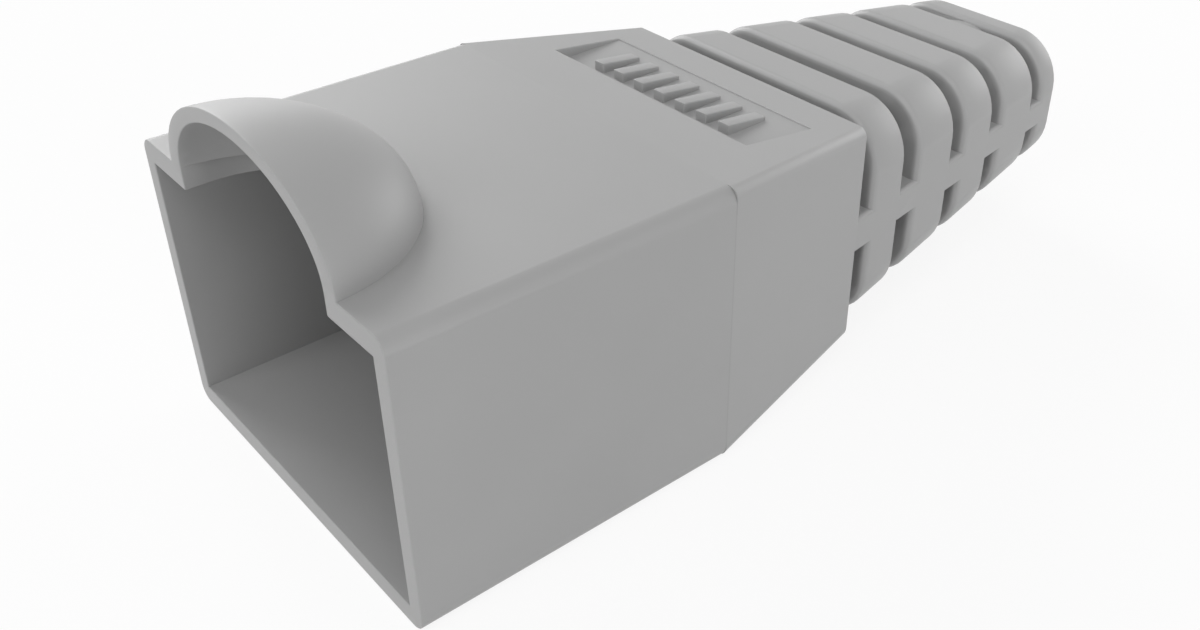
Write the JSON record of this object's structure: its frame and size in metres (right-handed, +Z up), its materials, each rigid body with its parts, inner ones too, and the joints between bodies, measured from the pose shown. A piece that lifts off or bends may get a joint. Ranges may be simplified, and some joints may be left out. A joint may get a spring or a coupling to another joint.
{
  "type": "rj45 strain relief boot",
  "caption": "Thin-walled sleeve for the back of a modular plug, with a half-round latch hood and a ribbed, tapering tail that holds the cable.",
  "frame": {"origin": "on the cable's axis, in the plane of the mouth that the plug goes into", "axes": "+Y runs back along the cable, towards the tail; +Z is up, towards the latch hood; X is across the plug"},
  "size_m": [0.013, 0.0294, 0.012],
  "materials": {
    "boot": "satin soft PVC, as moulded"
  },
  "bodies": {
    "root": {"boot": "boot"}
  },
  "joints": []
}
